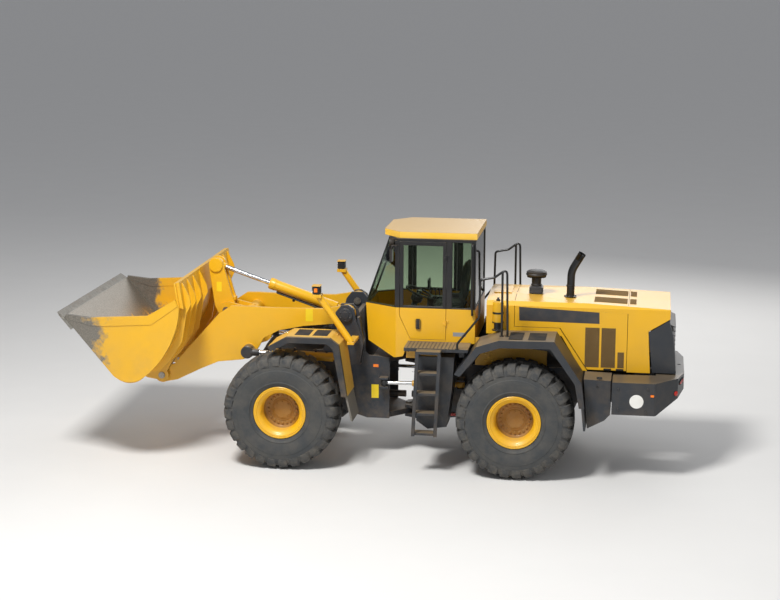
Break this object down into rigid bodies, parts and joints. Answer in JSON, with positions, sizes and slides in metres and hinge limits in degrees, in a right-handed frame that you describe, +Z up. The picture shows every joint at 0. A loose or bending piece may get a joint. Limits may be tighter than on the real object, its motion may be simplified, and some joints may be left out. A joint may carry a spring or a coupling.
{
  "type": "articulated wheel loader",
  "caption": "Articulated wheel loader with a glazed cab, Z-bar linkage, curled bucket, hexagonal fenders, side ladders and a wrap-round counterweight.",
  "frame": {"origin": "middle of the overall length on the ground, in the plane halfway between the wheels", "axes": "+X forwards to the bucket, +Y to the left of the machine, +Z up"},
  "size_m": [9.1696, 3.186, 3.495],
  "materials": {
    "tyre": "dusty black tread",
    "yellow_paint": "semi-gloss machine paint, dusty",
    "pale_yellow_paint": "pale semi-gloss paint",
    "grey_paint": "dark blue-grey semi-gloss paint",
    "axle_paint": "grey paint under dust",
    "cast": "as cast",
    "bare_steel": "worn bright steel",
    "chrome": "hard chrome",
    "glass": "tinted clear glass",
    "black_paint": "satin black paint",
    "plastic": "grained black plastic",
    "rubber": "dusty black rubber sheet",
    "cushion": "woven dark grey cloth",
    "red_paint": "red gloss paint"
  },
  "bodies": {
    "chassis": {"rear_frame": "grey_paint", "rear_axle": "axle_paint", "frame_pins": "bare_steel", "hood": "yellow_paint", "engine_block": "cast", "gearbox": "axle_paint", "counterweight": "grey_paint", "side_tanks": "yellow_paint", "side_decks": "grey_paint", "rear_fenders": "yellow_paint", "exhaust": "black_paint", "air_cleaner": "black_paint", "cab_frame": "yellow_paint", "cab_roof": "pale_yellow_paint", "cab_glass": "glass", "cab_fittings": "plastic", "seat_pads": "cushion", "hand_rails": "grey_paint", "mirrors": "plastic", "lock_bar": "red_paint"},
    "cab_door_left": {"door_left": "black_paint", "door_glass_left": "glass"},
    "cab_door_right": {"door_right": "black_paint", "door_glass_right": "glass"},
    "hood_door_left": {"engine_door_left": "yellow_paint"},
    "hood_door_right": {"engine_door_right": "yellow_paint"},
    "grille_door": {"rear_grille": "grey_paint"},
    "front_section": {"front_frame": "grey_paint", "front_shaft": "axle_paint", "front_pins": "bare_steel", "front_axle": "axle_paint", "front_fenders": "black_paint", "front_flaps": "rubber", "lamp_posts": "yellow_paint", "headlamps": "plastic"},
    "boom_arms": {"boom": "yellow_paint", "boom_pins": "bare_steel"},
    "crank": {"bellcrank": "yellow_paint"},
    "link": {"tilt_link": "yellow_paint"},
    "tilt_cylinder": {"tilt_barrel": "yellow_paint"},
    "tilt_piston": {"tilt_rod": "chrome"},
    "lift_cylinders": {"lift_barrels": "yellow_paint"},
    "lift_pistons": {"lift_rods": "chrome"},
    "bucket_body": {"bucket": "yellow_paint", "cutting_edge": "bare_steel", "bucket_pins": "bare_steel"},
    "steer_cylinder_left": {"steer_barrel_left": "yellow_paint"},
    "steer_cylinder_right": {"steer_barrel_right": "yellow_paint"},
    "steer_piston_left": {"steer_rod_left": "chrome"},
    "steer_piston_right": {"steer_rod_right": "chrome"},
    "wheel_front_left": {"tyre_front_left": "tyre", "rim_front_left": "yellow_paint"},
    "wheel_front_right": {"tyre_front_right": "tyre", "rim_front_right": "yellow_paint"},
    "wheel_rear_left": {"tyre_rear_left": "tyre", "rim_rear_left": "yellow_paint"},
    "wheel_rear_right": {"tyre_rear_right": "tyre", "rim_rear_right": "yellow_paint"}
  },
  "joints": [
    {"name": "steering", "type": "hinge", "parent": "chassis", "child": "front_section", "pos_m": [-0.44176, 0, 1.07], "axis": [0, 0, 1], "range_deg": [-35, 35]},
    {"name": "boom_lift", "type": "hinge", "parent": "front_section", "child": "boom_arms", "pos_m": [0.43624, 0, 2.2], "axis": [0, -1, 0], "range_deg": [-18, 66]},
    {"name": "bucket_tilt", "type": "hinge", "parent": "boom_arms", "child": "bucket_body", "pos_m": [3.28351, 0, 1.16368], "axis": [0, 1, 0], "range_deg": [-2, 155]},
    {"name": "crank_turn", "type": "hinge", "parent": "boom_arms", "child": "crank", "pos_m": [2.38324, 0, 2.11], "axis": [0, -1, 0], "range_deg": [-1.28, 60.8]},
    {"name": "link_turn", "type": "hinge", "parent": "bucket_body", "child": "link", "pos_m": [2.98906, 0, 1.33368], "axis": [0, -1, 0], "range_deg": [-2.26, 136.59]},
    {"name": "tilt_cylinder_turn", "type": "hinge", "parent": "front_section", "child": "tilt_cylinder", "pos_m": [0.55324, 0, 2.135], "axis": [0, -1, 0], "range_deg": [-18.66, 67.09]},
    {"name": "tilt_piston_slide", "type": "slide", "parent": "tilt_cylinder", "child": "tilt_piston", "axis": [0.9484, 0, 0.3171], "range_m": [-0.7135, 0.0112]},
    {"name": "lift_cylinder_turn", "type": "hinge", "parent": "front_section", "child": "lift_cylinders", "pos_m": [0.47324, 0, 1.56], "axis": [0, -1, 0], "range_deg": [-15.76, 56.47]},
    {"name": "lift_piston_slide", "type": "slide", "parent": "lift_cylinders", "child": "lift_pistons", "axis": [0.9997, 0, 0.0248], "range_m": [-0.1748, 0.6356]},
    {"name": "steer_cylinder_turn_left", "type": "hinge", "parent": "chassis", "child": "steer_cylinder_left", "pos_m": [-1.29176, 0.5, 1.165], "axis": [0, 0, 1], "range_deg": [-9.6, 9.6]},
    {"name": "steer_piston_slide_left", "type": "slide", "parent": "steer_cylinder_left", "child": "steer_piston_left", "axis": [0.9986, 0.0521, 0], "range_m": [-0.3239, 0.3239]},
    {"name": "cab_door_hinge_left", "type": "hinge", "parent": "chassis", "child": "cab_door_left", "pos_m": [-1.08476, 0.754, 2.6], "axis": [0, 0, 1], "range_deg": [0, 80]},
    {"name": "hood_door_hinge_left", "type": "hinge", "parent": "chassis", "child": "hood_door_left", "pos_m": [-2.09676, 0.7, 2.44], "axis": [0.9992, 0, 0.0395], "range_deg": [0, 60]},
    {"name": "steer_cylinder_turn_right", "type": "hinge", "parent": "chassis", "child": "steer_cylinder_right", "pos_m": [-1.29176, -0.5, 1.165], "axis": [0, 0, 1], "range_deg": [-9.6, 9.6]},
    {"name": "steer_piston_slide_right", "type": "slide", "parent": "steer_cylinder_right", "child": "steer_piston_right", "axis": [0.9986, -0.0521, 0], "range_m": [-0.3239, 0.3239]},
    {"name": "cab_door_hinge_right", "type": "hinge", "parent": "chassis", "child": "cab_door_right", "pos_m": [-1.08476, -0.754, 2.6], "axis": [0, 0, -1], "range_deg": [0, 80]},
    {"name": "hood_door_hinge_right", "type": "hinge", "parent": "chassis", "child": "hood_door_right", "pos_m": [-2.09676, -0.7, 2.44], "axis": [-0.9992, 0, -0.0395], "range_deg": [0, 60]},
    {"name": "grille_door_hinge", "type": "hinge", "parent": "chassis", "child": "grille_door", "pos_m": [-4.05276, -0.694, 1.9], "axis": [0, 0, 1], "range_deg": [0, 80]},
    {"name": "wheel_front_left_spin", "type": "hinge", "parent": "front_section", "child": "wheel_front_left", "pos_m": [1.28324, 1.15, 0.865], "axis": [0, 1, 0], "continuous": true},
    {"name": "wheel_front_right_spin", "type": "hinge", "parent": "front_section", "child": "wheel_front_right", "pos_m": [1.28324, -1.15, 0.865], "axis": [0, 1, 0], "continuous": true},
    {"name": "wheel_rear_left_spin", "type": "hinge", "parent": "chassis", "child": "wheel_rear_left", "pos_m": [-2.16676, 1.15, 0.865], "axis": [0, 1, 0], "continuous": true},
    {"name": "wheel_rear_right_spin", "type": "hinge", "parent": "chassis", "child": "wheel_rear_right", "pos_m": [-2.16676, -1.15, 0.865], "axis": [0, 1, 0], "continuous": true}
  ],
  "couplings": [
    {"joint": "crank_turn", "follows": "bucket_tilt", "ratio": 0.389},
    {"joint": "link_turn", "follows": "bucket_tilt", "ratio": 0.878},
    {"joint": "tilt_cylinder_turn", "follows": "boom_lift", "ratio": 1.009},
    {"joint": "tilt_piston_slide", "follows": "bucket_tilt", "m_per_rad": -0.263},
    {"joint": "lift_cylinder_turn", "follows": "boom_lift", "ratio": 0.848},
    {"joint": "lift_piston_slide", "follows": "boom_lift", "m_per_rad": 0.55},
    {"joint": "steer_cylinder_turn_left", "follows": "steering", "ratio": 0.26},
    {"joint": "steer_cylinder_turn_right", "follows": "steering", "ratio": 0.26},
    {"joint": "steer_piston_slide_left", "follows": "steering", "m_per_rad": -0.527},
    {"joint": "steer_piston_slide_right", "follows": "steering", "m_per_rad": 0.527}
  ]
}
